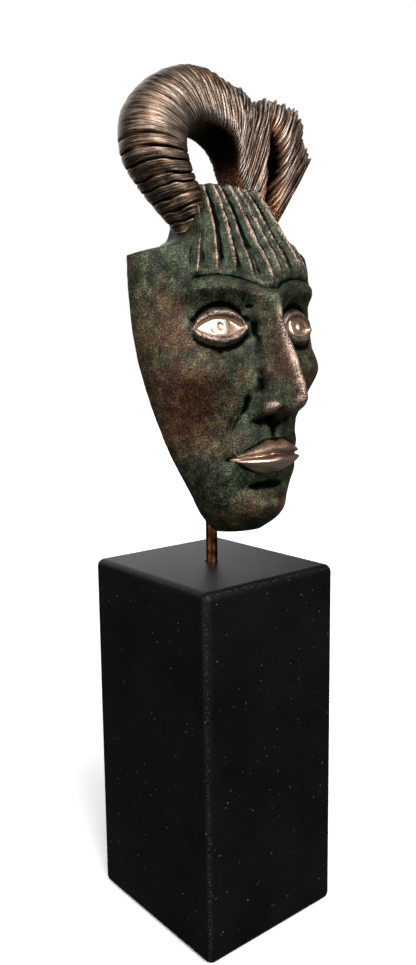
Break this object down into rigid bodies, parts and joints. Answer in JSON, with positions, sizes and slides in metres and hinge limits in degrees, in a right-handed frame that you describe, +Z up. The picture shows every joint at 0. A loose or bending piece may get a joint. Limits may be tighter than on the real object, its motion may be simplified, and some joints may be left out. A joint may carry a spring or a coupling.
{
  "type": "bronze mask on stand",
  "caption": "Hollow cast bronze face mask with a pierced, ridged crest, held by a bent metal rod that stands in a tall black block plinth.",
  "frame": {"origin": "centre of the plinth's underside, on the surface that it stands on", "axes": "+Z up, the mask looks along -Y, +X is the mask's own left"},
  "size_m": [0.118, 0.1148, 0.4276],
  "materials": {
    "plinth_black": "black painted, satin, corners worn",
    "rod_metal": "copper-brown, drawn rod, lightly polished",
    "mask_bronze": "cast bronze, dark green and brown patina, raised forms rubbed bright"
  },
  "bodies": {
    "root": {"plinth": "plinth_black", "rod": "rod_metal", "mask": "mask_bronze"}
  },
  "joints": []
}
